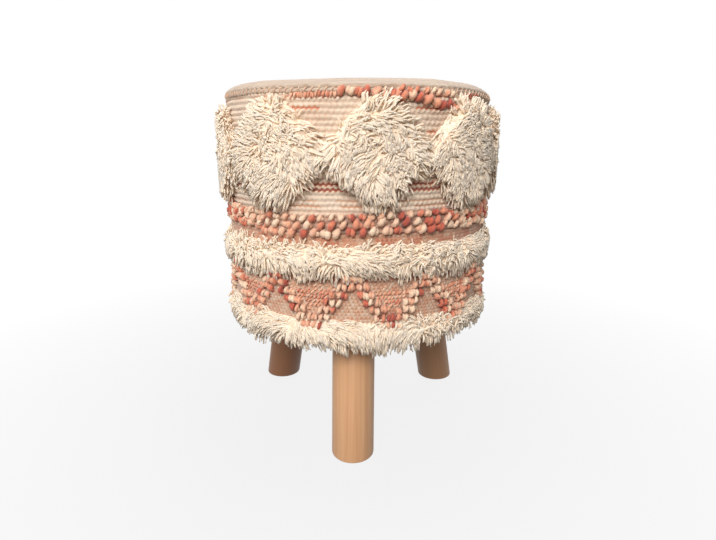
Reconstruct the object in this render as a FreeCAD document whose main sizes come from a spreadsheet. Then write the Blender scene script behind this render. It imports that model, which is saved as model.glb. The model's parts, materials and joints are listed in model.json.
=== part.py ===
import FreeCAD, Part
import math
import os
import Sketcher

from FreeCAD import Placement, Rotation, Vector

# Round pouf stool on three splayed wooden legs. Millimetres and degrees throughout.
# It stands on z = 0 with its axis on z. Its front looks along -y, with +x on the viewer's right.
# Two round boards, six posts and a bent fibreboard wall make the drum. Foam wraps it, and a
# handwoven cover with bands of long pile and rows of thick loops is pulled over the foam.

doc = FreeCAD.newDocument("pouf_stool")

# Named sizes

NAMED_SIZES = [
    ("body_radius", 169.0, "outside of the woven cover"),
    ("seat_height", 450.0, "top of the crown above the floor"),
    ("crown_height", 26.0, "from the seam round the top up to the crown"),
    ("lip_height", 148.0, "underside of the cover where it turns under the base board"),
    ("cover_thick", 4.0, "handwoven cloth with its backing"),
    ("lip_width", 21.0, "how far the cover is pulled in under the base board"),
    ("shoulder_reach", 14.0, "width of the steep shoulder over the seam"),
    ("crown_rise", 12.0, "swell of the crown from its shoulder up to its middle"),
    ("crown_flat", 80.0, "radius of the flat middle of the crown"),
    ("soft_gap", 0.3, "room left between a soft piece and its neighbour"),
    ("padding_thick", 8.0, "foam wrapped round the drum wall"),
    ("wall_thick", 3.0, "bent fibreboard"),
    ("seat_foam_thick", 45.0, "seat foam at its middle"),
    ("base_board_thick", 18.0, "plywood that the legs are fixed to"),
    ("top_board_thick", 12.0, "plywood under the seat foam"),
    ("post_side", 28.0, "square frame post"),
    ("post_count", 6, "posts round the drum"),
    ("dust_thick", 0.6, "non-woven cloth under the base board"),
    ("dust_inset", 1.0, "from the cover's lip in to the edge of the dust cover"),
    ("leg_count", 3, "legs round the stool"),
    ("leg_angle", -92.3, "direction of the front leg from +x"),
    ("leg_radius", 26.0, "round solid leg"),
    ("leg_splay", 10.75, "lean of a leg from upright"),
    ("foot_inset", 22.6, "from the side of the cover in to the middle of a foot"),
    ("plate_side", 50.0, "square angled leg plate"),
    ("plate_thick", 2.5, "steel of the leg plate"),
    ("plate_corner", 5.0, "cut corners of the leg plate"),
    ("boss_radius", 15.0, "tilted boss that the leg is screwed up to"),
    ("leg_seat_gap", 0.3, "room between a leg's top edge and its plate"),
    ("bolt_radius", 4.0, "hanger bolt"),
    ("bolt_depth", 38.0, "hanger bolt inside the leg"),
    ("bolt_reach", 20.0, "hanger bolt above the leg"),
    ("bolt_room", 7.0, "radius of the clearance hole over a bolt"),
    ("fit_gap", 0.05, "play between a bolt and its hole"),
    ("hole_spare", 2.0, "the pilot hole runs this much past the bolt"),
    ("seam_rib", 2.2, "how far the sewn seam stands out"),
    ("seam_width", 4.0, "height of the sewn seam"),
    ("upper_pile_top", 412.0, "peaks of the diamonds of long pile"),
    ("upper_pile_bottom", 298.0, "lower tips of the diamonds"),
    ("upper_pile_proud", 15.0, "how far the diamonds stand out"),
    ("upper_notch_low", 372.0, "foot of a V between two diamonds"),
    ("lower_notch_high", 342.0, "top of a gap below two diamonds"),
    ("diamond_count", 9, "diamonds round the stool"),
    ("diamond_angle", -12.0, "turn of the first gap from the front"),
    ("diamond_blunt", 15.0, "half the width of a diamond's blunt tip"),
    ("middle_pile_top", 268.0, "roots of the middle pile band"),
    ("middle_pile_bottom", 226.0, "tips of the middle pile band"),
    ("middle_pile_proud", 13.0, "how far the middle band stands out"),
    ("lower_pile_top", 182.0, "roots of the lower pile band"),
    ("lower_pile_bottom", 138.0, "tips that hang below the cover's lip"),
    ("lower_pile_proud", 10.0, "how far the lower band stands out"),
    ("pile_droop", 10.0, "how far the tips hang below their roots"),
    ("loop_row_height", 8.0, "one row of thick loops"),
    ("loop_core", 3.4, "depth of a loop row behind its round face"),
    ("loop_round", 3.0, "round face of a loop row"),
    ("loop_band_bottom", 278.0, "lowest edge of the band of loops"),
    ("loop_band_rows", 3, "rows of loops in the band"),
    ("zigzag_valley_rise", 12.0, "from the lower pile's roots up to the inside of a valley"),
    ("zigzag_rise", 39.0, "climb of the zigzag from valley to peak"),
    ("zigzag_arm", 17.0, "height between the zigzag's two inside corners"),
    ("zigzag_count", 12, "peaks of the zigzag round the stool"),
    ("zigzag_angle", -18.0, "turn of the first valley from the front"),
    ("top_row_height", 10.0, "the single row of loops under the seam"),
    ("top_row_arc_angle", 79.0, "length of one stretch of it, in degrees round the drum"),
    ("top_row_angle", 12.5, "middle of the front stretch from the front"),
    ("top_row_count", 3, "stretches of it round the stool"),
    ("overrun", 2.0, "how far a cut runs past what it cuts"),
]

# Shares of a pile band's depth and height
PILE_TIP_SHARE = 0.75
PILE_FULL_SHARE = 0.55

sheet = doc.addObject("Spreadsheet::Sheet", "sizes")
for row, (alias, number, meaning) in enumerate(NAMED_SIZES, start=1):
    sheet.set("A%d" % row, alias)
    sheet.set("B%d" % row, str(number))
    sheet.set("C%d" % row, meaning)
    sheet.setAlias("B%d" % row, alias)
doc.recompute()


# Sizes that carry their expression with them

class Size:
    """A size with its number now and its expression on the sheet."""

    def __init__(self, value, text):
        self.value = float(value)
        self.text = text

    def __add__(self, other):
        other = as_size(other)
        return Size(self.value + other.value, "(%s + %s)" % (self.text, other.text))

    def __sub__(self, other):
        other = as_size(other)
        return Size(self.value - other.value, "(%s - %s)" % (self.text, other.text))

    def __mul__(self, other):
        other = as_size(other)
        return Size(self.value * other.value, "(%s * %s)" % (self.text, other.text))

    def __truediv__(self, other):
        other = as_size(other)
        return Size(self.value / other.value, "(%s / %s)" % (self.text, other.text))

    def __rtruediv__(self, other):
        return as_size(other) / self

    def __neg__(self):
        return as_size(0) - self


def as_size(number):
    if isinstance(number, Size):
        return number
    return Size(number, "%.9f" % number)


def sine(angle):
    return Size(math.sin(math.radians(angle.value)), "sin(%s * 1deg)" % angle.text)


def cosine(angle):
    return Size(math.cos(math.radians(angle.value)), "cos(%s * 1deg)" % angle.text)


def tangent(angle):
    return Size(math.tan(math.radians(angle.value)), "tan(%s * 1deg)" % angle.text)


def root(size):
    return Size(math.sqrt(size.value), "sqrt(%s)" % size.text)


class Sizes:
    """Every named size as an attribute, read from the sheet."""


size = Sizes()
for alias, number, meaning in NAMED_SIZES:
    setattr(size, alias, Size(sheet.get(alias), "sizes.%s" % alias))

# Radii from the outside in
cover_inner = size.body_radius - size.cover_thick
padding_outer = cover_inner - size.soft_gap
padding_inner = padding_outer - size.padding_thick
wall_outer = padding_inner - size.soft_gap
wall_inner = wall_outer - size.wall_thick
board_radius = wall_inner - size.soft_gap
lip_inner = size.body_radius - size.lip_width
rim_radius = size.body_radius - size.shoulder_reach
foot_circle = size.body_radius - size.foot_inset
trim_inner = size.body_radius + size.soft_gap
post_half = size.post_side / 2
post_circle = root(board_radius * board_radius - post_half * post_half) - post_half

# Heights from the floor up
seam_height = size.seat_height - size.crown_height
rim_height = size.seat_height - size.crown_rise
lip_top = size.lip_height + size.cover_thick
board_bottom = lip_top + size.soft_gap
board_top = board_bottom + size.base_board_thick
foam_top = size.seat_height - size.cover_thick - size.soft_gap
foam_bottom = foam_top - size.seat_foam_thick
frame_top = foam_bottom - size.soft_gap
top_board_bottom = frame_top - size.top_board_thick
dust_bottom = board_bottom - size.dust_thick
plate_bottom = dust_bottom - size.plate_thick
zigzag_valley = size.lower_pile_top + size.zigzag_valley_rise

# The leg's axis leans inwards on its way up, and its top is square to the axis
leg_top_height = plate_bottom - size.leg_seat_gap - size.leg_radius * sine(size.leg_splay)
leg_length = leg_top_height / cosine(size.leg_splay)
plate_circle = foot_circle - plate_bottom * tangent(size.leg_splay)
board_middle = board_bottom + size.base_board_thick / 2
bolt_circle = foot_circle - board_middle * tangent(size.leg_splay)

LEG_NAMES = ["front", "right", "left"]
leg_total = round(size.leg_count.value)
post_total = round(size.post_count.value)


def spread_turn(count, place):
    """Degrees from the front leg's direction to one of count even places."""
    return size.leg_angle.value + place * 360 / count


# Sketches and features


def origin_part(body, role):
    return [part for part in body.Origin.OriginFeatures if part.Role == role][0]


def new_sketch(body, name, plane):
    sketch = body.newObject("Sketcher::SketchObject", name)
    sketch.AttachmentSupport = [(origin_part(body, plane), "")]
    sketch.MapMode = "FlatFace"
    return sketch


def fix_point(sketch, edge, end, across, up):
    """Bind one end of an edge to its two distances from the sketch's origin."""
    for kind, distance, axis in (("DistanceX", across, -2), ("DistanceY", up, -1)):
        if isinstance(distance, Size):
            rule = Sketcher.Constraint(kind, -1, 1, edge, end, distance.value)
            place = sketch.addConstraint(rule)
            sketch.setExpression("Constraints[%d]" % place, distance.text)
        else:
            sketch.addConstraint(Sketcher.Constraint("PointOnObject", edge, end, axis))


def closed_sketch(body, name, plane, corners):
    """Straight-sided outline, taken anticlockwise, with every corner bound."""
    sketch = new_sketch(body, name, plane)
    for place, corner in enumerate(corners):
        following = corners[(place + 1) % len(corners)]
        start = Vector(as_size(corner[0]).value, as_size(corner[1]).value, 0)
        stop = Vector(as_size(following[0]).value, as_size(following[1]).value, 0)
        sketch.addGeometry(Part.LineSegment(start, stop))
    for place, corner in enumerate(corners):
        following = (place + 1) % len(corners)
        sketch.addConstraint(Sketcher.Constraint("Coincident", place, 2, following, 1))
    for place, corner in enumerate(corners):
        fix_point(sketch, place, 1, corner[0], corner[1])
    return sketch


def bulge(start, stop, rise):
    """Corner midway from start up to stop, standing out from the straight line by rise."""
    across = as_size(stop[0]) - as_size(start[0])
    up = as_size(stop[1]) - as_size(start[1])
    chord = root(across * across + up * up)
    return (
        as_size(start[0]) + across / 2 + rise * up / chord,
        as_size(start[1]) + up / 2 - rise * across / chord,
    )


def circle_sketch(body, name, circles):
    """Circles on the body's XY plane, each with its centre and radius bound."""
    sketch = new_sketch(body, name, "XY_Plane")
    for across, along, radius in circles:
        centre = Vector(as_size(across).value, as_size(along).value, 0)
        edge = sketch.addGeometry(Part.Circle(centre, Vector(0, 0, 1), radius.value))
        fix_point(sketch, edge, 3, across, along)
        place = sketch.addConstraint(Sketcher.Constraint("Radius", edge, radius.value))
        sketch.setExpression("Constraints[%d]" % place, radius.text)
    return sketch


def new_body(label):
    body = doc.addObject("PartDesign::Body", label)
    body.Label = label
    return body


def revolve(body, name, sketch):
    feature = body.newObject("PartDesign::Revolution", name)
    feature.Profile = sketch
    feature.ReferenceAxis = (sketch, ["V_Axis"])
    feature.Angle = 360
    doc.recompute()
    return feature


def pad(body, name, sketch, height):
    feature = body.newObject("PartDesign::Pad", name)
    feature.Profile = sketch
    feature.setExpression("Length", height.text)
    doc.recompute()
    return feature


def must_cut(body, before):
    doc.recompute()
    if body.Shape.Volume >= before:
        raise RuntimeError("%s: the last cut took nothing away" % body.Label)


def bore(body, name, sketch):
    """Turned cut about the sketch's own upright axis."""
    before = body.Shape.Volume
    feature = body.newObject("PartDesign::Groove", name)
    feature.Profile = sketch
    feature.ReferenceAxis = (sketch, ["V_Axis"])
    feature.Angle = 360
    must_cut(body, before)
    return feature


def through_cut(body, name, sketch, both_ways=True, turned=False):
    before = body.Shape.Volume
    feature = body.newObject("PartDesign::Pocket", name)
    feature.Profile = sketch
    feature.Type = "ThroughAll"
    feature.Midplane = both_ways
    feature.Reversed = turned
    must_cut(body, before)
    return feature


def spread_round(body, name, features, count):
    """Repeat features evenly about the body's z axis."""
    pattern = body.newObject("PartDesign::PolarPattern", name)
    pattern.Originals = features
    pattern.Axis = (origin_part(body, "Z_Axis"), [""])
    pattern.Angle = 360
    pattern.Occurrences = count
    body.Tip = pattern
    doc.recompute()
    return pattern


def turn_about_axis(piece, degrees):
    piece.Placement = Placement(Vector(0, 0, 0), Rotation(Vector(0, 0, 1), degrees))


def turned_piece(label, corners):
    """A body of one turned profile about the stool's axis."""
    body = new_body(label)
    revolve(body, label + "_turned", closed_sketch(body, label + "_profile", "XZ_Plane", corners))
    return body


# Boards, posts and drum wall


def make_base_board():
    body = turned_piece("base_board", [
        (0, board_bottom),
        (board_radius, board_bottom),
        (board_radius, board_top),
        (0, board_top),
    ])
    circle = circle_sketch(body, "bolt_room_circle", [(bolt_circle, 0, size.bolt_room)])
    room = through_cut(body, "bolt_room_cut", circle)
    spread_round(body, "bolt_rooms", [room], leg_total)
    turn_about_axis(body, size.leg_angle.value)
    return body


def make_top_board():
    return turned_piece("top_board", [
        (0, top_board_bottom),
        (board_radius, top_board_bottom),
        (board_radius, frame_top),
        (0, frame_top),
    ])


def make_posts():
    """Square posts between the two boards, their outer corners against the drum wall."""
    posts = []
    for place in range(post_total):
        body = new_body("frame_post_%d" % (place + 1))
        corners = [
            (-post_half, -post_half),
            (post_half, -post_half),
            (post_half, post_half),
            (-post_half, post_half),
        ]
        square = closed_sketch(body, "post_square_%d" % place, "XY_Plane", corners)
        pad(body, "post_%d" % place, square, top_board_bottom - board_top)
        turn = Rotation(Vector(0, 0, 1), spread_turn(post_total, place + 0.5))
        spot = turn.multVec(Vector(post_circle.value, 0, board_top.value))
        body.Placement = Placement(spot, turn)
        posts.append(body)
    return posts


def make_drum_wall():
    return turned_piece("drum_wall", [
        (wall_inner, board_bottom),
        (wall_outer, board_bottom),
        (wall_outer, frame_top),
        (wall_inner, frame_top),
    ])


# Foam


def make_side_padding():
    return turned_piece("side_padding", [
        (padding_inner, board_bottom),
        (padding_outer, board_bottom),
        (padding_outer, frame_top),
        (padding_inner, frame_top),
    ])


def crown_corners(inset):
    """Half section of the swelling crown from its seam up to the axis, set in by inset."""
    return [
        (size.body_radius - inset, seam_height),
        (rim_radius - inset, rim_height - inset),
        (size.crown_flat, size.seat_height - inset),
        (0, size.seat_height - inset),
    ]


def make_seat_foam():
    inset = size.cover_thick + size.soft_gap
    return turned_piece("seat_foam", [
        (0, foam_bottom),
        (padding_outer, foam_bottom),
    ] + crown_corners(inset))


# Woven cover, seam and dust cover


def make_cover_side_panel():
    """Side of the cover, with its lip turned in under the base board."""
    return turned_piece("cover_side_panel", [
        (lip_inner, size.lip_height),
        (size.body_radius, size.lip_height),
        (size.body_radius, seam_height),
        (cover_inner, seam_height),
        (cover_inner, lip_top),
        (lip_inner, lip_top),
    ])


def make_cover_top_panel():
    """Sewn crown of cloth: the outer crown with the inner one turned out of it."""
    body = turned_piece("cover_top_panel", [(0, seam_height)] + crown_corners(as_size(0)))
    below = seam_height - size.overrun
    inner = [(0, below), (cover_inner, below)] + crown_corners(size.cover_thick)
    bore(body, "crown_hollow", closed_sketch(body, "crown_hollow_profile", "XZ_Plane", inner))
    return body


def make_top_seam():
    low = (trim_inner, seam_height - size.soft_gap)
    high = (trim_inner, low[1] + size.seam_width)
    return turned_piece("top_seam", [low, bulge(low, high, size.seam_rib), high])


def make_dust_cover():
    body = turned_piece("dust_cover", [
        (0, dust_bottom),
        (lip_inner - size.dust_inset, dust_bottom),
        (lip_inner - size.dust_inset, board_bottom),
        (0, board_bottom),
    ])
    circle = circle_sketch(body, "dust_hole_circle", [(plate_circle, 0, size.bolt_room)])
    hole = through_cut(body, "dust_hole", circle)
    spread_round(body, "dust_holes", [hole], leg_total)
    turn_about_axis(body, size.leg_angle.value)
    return body


# Legs, plates and bolts


def leg_placement(turn_degrees):
    """From the leg's own frame, with its axis on z and its foot at 0, to its place."""
    turn = Placement(Vector(0, 0, 0), Rotation(Vector(0, 0, 1), turn_degrees))
    step_out = Placement(Vector(foot_circle.value, 0, 0), Rotation())
    lean = Placement(Vector(0, 0, 0), Rotation(Vector(0, 1, 0), -size.leg_splay.value))
    return turn.multiply(step_out).multiply(lean)


def make_leg(name, turn_degrees):
    body = new_body("leg_" + name)
    foot_drop = size.leg_radius * tangent(size.leg_splay) + size.overrun
    pilot = size.bolt_radius + size.fit_gap
    pilot_end = leg_length - size.bolt_depth - size.hole_spare
    corners = [
        (0, -foot_drop),
        (size.leg_radius, -foot_drop),
        (size.leg_radius, leg_length),
        (pilot, leg_length),
        (pilot, pilot_end),
        (0, pilot_end),
    ]
    profile = closed_sketch(body, "leg_profile_" + name, "XZ_Plane", corners)
    revolve(body, "leg_turned_" + name, profile)
    reach = size.leg_radius + size.overrun
    drop = reach * tangent(size.leg_splay)
    below = -drop - size.overrun
    wedge = [(-reach, below), (reach, below), (reach, -drop), (-reach, drop)]
    saw_cut = closed_sketch(body, "foot_cut_" + name, "XZ_Plane", wedge)
    through_cut(body, "foot_saw_" + name, saw_cut)
    body.Placement = leg_placement(turn_degrees)
    return body


def make_bolt(name, turn_degrees):
    low = leg_length - size.bolt_depth
    high = leg_length + size.bolt_reach
    body = turned_piece("leg_bolt_" + name, [
        (0, low),
        (size.bolt_radius, low),
        (size.bolt_radius, high),
        (0, high),
    ])
    body.Placement = leg_placement(turn_degrees)
    return body


def leaning_cylinder(name, radius, height, start):
    """Cylinder along the leg's axis, in the plate's frame, from start along that axis."""
    rod = doc.addObject("Part::Cylinder", name)
    rod.setExpression("Radius", radius.text)
    rod.setExpression("Height", height.text)
    lean = Rotation(Vector(0, 1, 0), -size.leg_splay.value)
    rod.Placement = Placement(lean.multVec(Vector(0, 0, start.value)), lean)
    return rod


def make_leg_plate(name, turn_degrees):
    """Flat plate with a tilted boss. Its frame has z = 0 on the plate's underside."""
    body = new_body("plate_flat_" + name)
    half = size.plate_side / 2
    corners = [(-half, -half), (half, -half), (half, half), (-half, half)]
    square = closed_sketch(body, "plate_square_" + name, "XY_Plane", corners)
    flat = pad(body, "plate_pad_" + name, square, size.plate_thick)
    easing = body.newObject("PartDesign::Chamfer", "plate_corners_" + name)
    upright = [
        "Edge%d" % number
        for number, edge in enumerate(flat.Shape.Edges, start=1)
        if abs(edge.tangentAt(edge.FirstParameter).z) > cosine(size.leg_splay).value
    ]
    easing.Base = (flat, upright)
    easing.setExpression("Size", size.plate_corner.text)
    doc.recompute()

    boss_start = -(plate_bottom - leg_top_height) / cosine(size.leg_splay)
    boss_height = -boss_start + size.plate_thick + size.boss_radius
    boss = leaning_cylinder("boss_" + name, size.boss_radius, boss_height, boss_start)
    slab = doc.addObject("Part::Box", "boss_slab_" + name)
    slab.setExpression("Length", size.plate_side.text)
    slab.setExpression("Width", size.plate_side.text)
    slab.setExpression("Height", (size.plate_side + size.plate_thick / 2).text)
    slab.Placement = Placement(
        Vector(-half.value, -half.value, -size.plate_side.value), Rotation()
    )
    trimmed = doc.addObject("Part::Common", "boss_trimmed_" + name)
    trimmed.Base = boss
    trimmed.Tool = slab
    joined = doc.addObject("Part::Fuse", "plate_joined_" + name)
    joined.Base = body
    joined.Tool = trimmed
    bore_start = boss_start - size.overrun
    bore_height = boss_height + size.overrun * 2
    thread = leaning_cylinder(
        "bolt_bore_" + name, size.bolt_radius + size.fit_gap, bore_height, bore_start
    )
    plate = doc.addObject("Part::Cut", "leg_plate_" + name)
    plate.Base = joined
    plate.Tool = thread
    plate.Label = "leg_plate_" + name
    doc.recompute()
    turn = Rotation(Vector(0, 0, 1), turn_degrees)
    spot = turn.multVec(Vector(plate_circle.value, 0, plate_bottom.value))
    plate.Placement = Placement(spot, turn)
    return plate


# Pile bands and loop rows on the cover


def pile_corners(low, high, proud):
    """Section of a band of drooping pile: full in the middle, thin where its tips hang."""
    full = low + (high - low) * PILE_FULL_SHARE
    tip = (trim_inner + proud * PILE_TIP_SHARE, low)
    widest = (trim_inner + proud, full)
    roots = (trim_inner, high)
    return [(trim_inner, low + size.pile_droop), tip, widest, roots]


def notch_sides(body, label, half_width, from_height, point_height, edge_height):
    """Three-cornered cut whose point is on one side of the band and mouth past its edge."""
    above = edge_height.value > point_height.value
    way = 1 if above else -1
    mouth = edge_height + size.overrun * way
    corners = [
        (0, point_height),
        (half_width, from_height),
        (half_width, mouth),
        (-half_width, mouth),
        (-half_width, from_height),
    ]
    corners = corners if above else corners[::-1]
    sketch = closed_sketch(body, label, "XZ_Plane", corners)
    return through_cut(body, label + "_cut", sketch, both_ways=False, turned=True)


def make_upper_pile():
    """Chain of diamonds: a band of long pile with a V cut between each pair, above and below."""
    label = "pile_upper"
    body = turned_piece(
        label,
        pile_corners(size.upper_pile_bottom, size.upper_pile_top, size.upper_pile_proud),
    )
    half_pitch = size.body_radius * sine(as_size(180) / size.diamond_count)
    half = half_pitch - size.diamond_blunt
    high = size.upper_pile_top
    low = size.upper_pile_bottom
    over = notch_sides(body, label + "_v", half, high, size.upper_notch_low, high)
    under = notch_sides(body, label + "_gap", half, low, size.lower_notch_high, low)
    total = round(size.diamond_count.value)
    spread_round(body, label + "_notches", [over, under], total)
    turn_about_axis(body, size.diamond_angle.value)
    return body


def make_pile_band(label, low, high, proud):
    return turned_piece(label, pile_corners(low, high, proud))


def loop_row_corners(low, high):
    """Round face of one row of loops, from its lower to its upper edge."""
    face = trim_inner + size.loop_core
    return [(face, low), bulge((face, low), (face, high), size.loop_round)]


def make_loop_band():
    """Rows of thick loops, one above the other, as ribs on a common base."""
    corners = [(trim_inner, size.loop_band_bottom)]
    edge = size.loop_band_bottom
    for row in range(round(size.loop_band_rows.value)):
        corners += loop_row_corners(edge, edge + size.loop_row_height)
        edge = edge + size.loop_row_height
    corners.append((trim_inner + size.loop_core, edge))
    corners.append((trim_inner, edge))
    return turned_piece("loop_band", corners)


def make_loop_zigzag():
    """Zigzag of loops between the middle and lower pile bands."""
    label = "loop_zigzag"
    low = size.lower_pile_top + size.soft_gap
    high = size.middle_pile_bottom - size.soft_gap
    body = turned_piece(label, [
        (trim_inner, low),
        (trim_inner + size.loop_core + size.loop_round, low),
        (trim_inner + size.loop_core + size.loop_round, high),
        (trim_inner, high),
    ])
    half_pitch = size.body_radius * sine(as_size(180) / size.zigzag_count)
    peak = zigzag_valley + size.zigzag_arm
    over_half = half_pitch * (high - zigzag_valley) / size.zigzag_rise
    under_half = half_pitch * (peak - low) / size.zigzag_rise
    total = round(size.zigzag_count.value)
    over = notch_sides(body, label + "_v", over_half, high, zigzag_valley, high)
    spread_round(body, label + "_valleys", [over], total)
    half_step = as_size(180) / size.zigzag_count
    under = leaning_notch(body, label + "_peak", half_step, under_half, low, peak)
    spread_round(body, label + "_peaks", [under], total)
    turn_about_axis(body, size.zigzag_angle.value)
    return body


def leaning_notch(body, label, turn, half_width, low, point_height):
    """Notch from below, turned about the axis by half a step before it is cut."""
    corners = [
        (0, point_height),
        (-half_width, low),
        (-half_width, low - size.overrun),
        (half_width, low - size.overrun),
        (half_width, low),
    ]
    sketch = closed_sketch(body, label, "XZ_Plane", corners)
    lean = Rotation(Vector(0, 1, 0), turn.value)
    sketch.AttachmentOffset = Placement(Vector(0, 0, 0), lean)
    sketch.setExpression("AttachmentOffset.Rotation.Angle", turn.text)
    return through_cut(body, label + "_cut", sketch, both_ways=False, turned=True)


def make_top_loop_row():
    """Stretches of one loop row that come out from under the seam."""
    label = "top_loop_row"
    body = new_body(label)
    low = size.upper_pile_top + size.soft_gap
    high = low + size.top_row_height
    corners = [(trim_inner, low)] + loop_row_corners(low, high) + [
        (trim_inner + size.loop_core, high),
        (trim_inner, high),
    ]
    sketch = closed_sketch(body, label + "_profile", "XZ_Plane", corners)
    stretch = revolve(body, label + "_stretch", sketch)
    stretch.Midplane = True
    stretch.setExpression("Angle", size.top_row_arc_angle.text)
    doc.recompute()
    spread_round(body, label + "_round", [stretch], round(size.top_row_count.value))
    front_direction = -90
    turn_about_axis(body, front_direction + size.top_row_angle.value)
    return body


# The whole stool

pieces = [
    make_base_board(),
    make_top_board(),
    make_drum_wall(),
    make_side_padding(),
    make_seat_foam(),
    make_cover_side_panel(),
    make_cover_top_panel(),
    make_top_seam(),
    make_dust_cover(),
    make_upper_pile(),
    make_pile_band(
        "pile_middle", size.middle_pile_bottom, size.middle_pile_top, size.middle_pile_proud
    ),
    make_pile_band(
        "pile_lower", size.lower_pile_bottom, size.lower_pile_top, size.lower_pile_proud
    ),
    make_loop_band(),
    make_loop_zigzag(),
    make_top_loop_row(),
]
pieces.extend(make_posts())
for place in range(leg_total):
    name = LEG_NAMES[place]
    turn_degrees = spread_turn(leg_total, place)
    pieces.append(make_leg(name, turn_degrees))
    pieces.append(make_leg_plate(name, turn_degrees))
    pieces.append(make_bolt(name, turn_degrees))

doc.recompute()
for item in doc.Objects:
    if "Invalid" in item.State or "Error" in item.State:
        raise RuntimeError("%s did not build: %s" % (item.Label, item.State))
for piece in pieces:
    if piece.Shape.isNull() or not piece.Shape.isValid():
        raise RuntimeError("%s has no valid shape" % piece.Label)

os.makedirs("parts", exist_ok=True)
for piece in pieces:
    piece.Shape.exportStep(os.path.join("parts", piece.Label + ".step"))
print("%d pieces written" % len(pieces))
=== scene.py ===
import json
import math

import bmesh
import bpy
import numpy as np
from mathutils import Matrix, Vector, noise

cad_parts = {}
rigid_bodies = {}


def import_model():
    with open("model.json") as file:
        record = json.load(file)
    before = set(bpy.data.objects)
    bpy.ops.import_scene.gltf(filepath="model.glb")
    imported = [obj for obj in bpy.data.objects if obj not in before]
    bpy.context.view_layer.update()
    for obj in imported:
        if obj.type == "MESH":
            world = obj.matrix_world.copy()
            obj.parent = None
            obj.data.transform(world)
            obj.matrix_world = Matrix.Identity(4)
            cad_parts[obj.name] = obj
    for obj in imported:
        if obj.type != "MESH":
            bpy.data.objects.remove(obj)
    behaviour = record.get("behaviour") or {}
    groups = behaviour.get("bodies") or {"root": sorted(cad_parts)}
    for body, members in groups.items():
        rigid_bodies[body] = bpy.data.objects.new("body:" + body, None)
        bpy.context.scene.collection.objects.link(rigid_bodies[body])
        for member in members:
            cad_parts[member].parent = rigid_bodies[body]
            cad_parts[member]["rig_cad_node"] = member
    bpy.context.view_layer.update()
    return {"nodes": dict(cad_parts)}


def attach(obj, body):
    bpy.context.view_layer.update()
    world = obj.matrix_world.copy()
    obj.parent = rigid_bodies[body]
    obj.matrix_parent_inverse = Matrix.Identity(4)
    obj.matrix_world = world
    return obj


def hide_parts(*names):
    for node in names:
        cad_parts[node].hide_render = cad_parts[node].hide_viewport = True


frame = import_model()
nodes = frame["nodes"]


# Plywood boards and frame posts
# Two round birch plywood boards with six square softwood posts between them, glued and nailed.
# The lower board carries the legs, the upper one the seat foam. Both are routed round.


class Wire:
    """A socket of a material with arithmetic: each sum adds its Math node."""

    def __init__(self, mix, socket):
        self.mix = mix
        self.socket = socket

    def math(self, operation, first, second):
        return self.mix.add("ShaderNodeMath", {"operation": operation}, {0: first, 1: second})

    def __add__(self, other):
        return self.math("ADD", self, other)

    __radd__ = __add__

    def __sub__(self, other):
        return self.math("SUBTRACT", self, other)

    def __rsub__(self, other):
        return self.math("SUBTRACT", other, self)

    def __mul__(self, other):
        return self.math("MULTIPLY", self, other)

    __rmul__ = __mul__

    def __pow__(self, other):
        return self.math("POWER", self, other)

    def at_least(self, other):
        return self.math("MAXIMUM", self, other)

    def over(self, edge):
        return self.math("GREATER_THAN", self, edge)

    def sine(self):
        return self.math("SINE", self, 0)

    def size(self):
        return self.math("ABSOLUTE", self, 0)


class Mix:
    """What a material or the sky is mixed from. Each node that is added comes from add()."""

    def __init__(self, tree):
        self.tree = tree

    def add(self, kind, settings=None, inputs=None, output=0):
        node = self.tree.nodes.new(kind)
        for key, value in (settings or {}).items():
            if key == "stops":
                ramp = node.color_ramp.elements
                while len(ramp) < len(value):
                    ramp.new(0.5)
                for stop, (place, *parts) in zip(ramp, value):
                    stop.position = place
                    stop.color = colour(*parts)
            else:
                setattr(node, key, value)
        for key, value in (inputs or {}).items():
            self.feed(node.inputs[key], value)
        return Wire(self, node.outputs[output])

    def feed(self, socket, value):
        if isinstance(value, Wire):
            self.tree.links.new(value.socket, socket)
        else:
            socket.default_value = value

    def axis(self, vector, number):
        """One number of a vector: 0 is x, 1 is y and 2 is z."""
        return self.add("ShaderNodeSeparateXYZ", {}, {0: vector}, output=number)


class Finish(Mix):
    """A material being mixed. The values given first are the same all over a piece."""

    def __init__(self, name, **fixed):
        self.material = bpy.data.materials.new(name)
        self.material.use_nodes = True
        super().__init__(self.material.node_tree)
        self.shader = self.tree.nodes["Principled BSDF"]
        self.give(**fixed)

    def give(self, **sockets):
        for socket, value in sockets.items():
            self.feed(self.shader.inputs[socket.replace("_", " ")], value)

    def place(self, stretch=(1, 1, 1), attribute=None):
        """Object coordinates, or a piece's own attribute, stretched by that much."""
        if attribute:
            source = self.attribute(attribute, "Vector")
        else:
            source = self.add("ShaderNodeTexCoord", output="Object")
        return self.add("ShaderNodeMapping", {}, {"Vector": source, "Scale": stretch})

    def attribute(self, name, output="Fac"):
        return self.add("ShaderNodeAttribute", {"attribute_name": name}, output=output)

    def noise(self, scale, detail, rough, stretch=(1, 1, 1), attribute=None):
        where = self.place(stretch, attribute)
        sockets = {"Vector": where, "Scale": scale, "Detail": detail, "Roughness": rough}
        return self.add("ShaderNodeTexNoise", {}, sockets)

    def ramp(self, share, *stops):
        """A colour for each share. A stop is a share and its red, green and blue."""
        return self.add("ShaderNodeValToRGB", {"stops": stops}, {"Fac": share})

    def blend(self, share, first, second):
        sockets = {0: share, 6: first, 7: second}
        return self.add("ShaderNodeMix", {"data_type": "RGBA"}, sockets, output=2)

    def bump(self, height, distance, strength):
        sockets = {"Strength": strength, "Distance": distance, "Height": height}
        self.give(Normal=self.add("ShaderNodeBump", {}, sockets))


def colour(red, green, blue):
    """A colour mixed from 0 to 255 on screen, as the shader wants it."""
    shares = [part / 255 for part in (red, green, blue)]
    return [
        part / 12.92 if part <= 0.04045 else ((part + 0.055) / 1.055) ** 2.4 for part in shares
    ] + [1.0]


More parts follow.
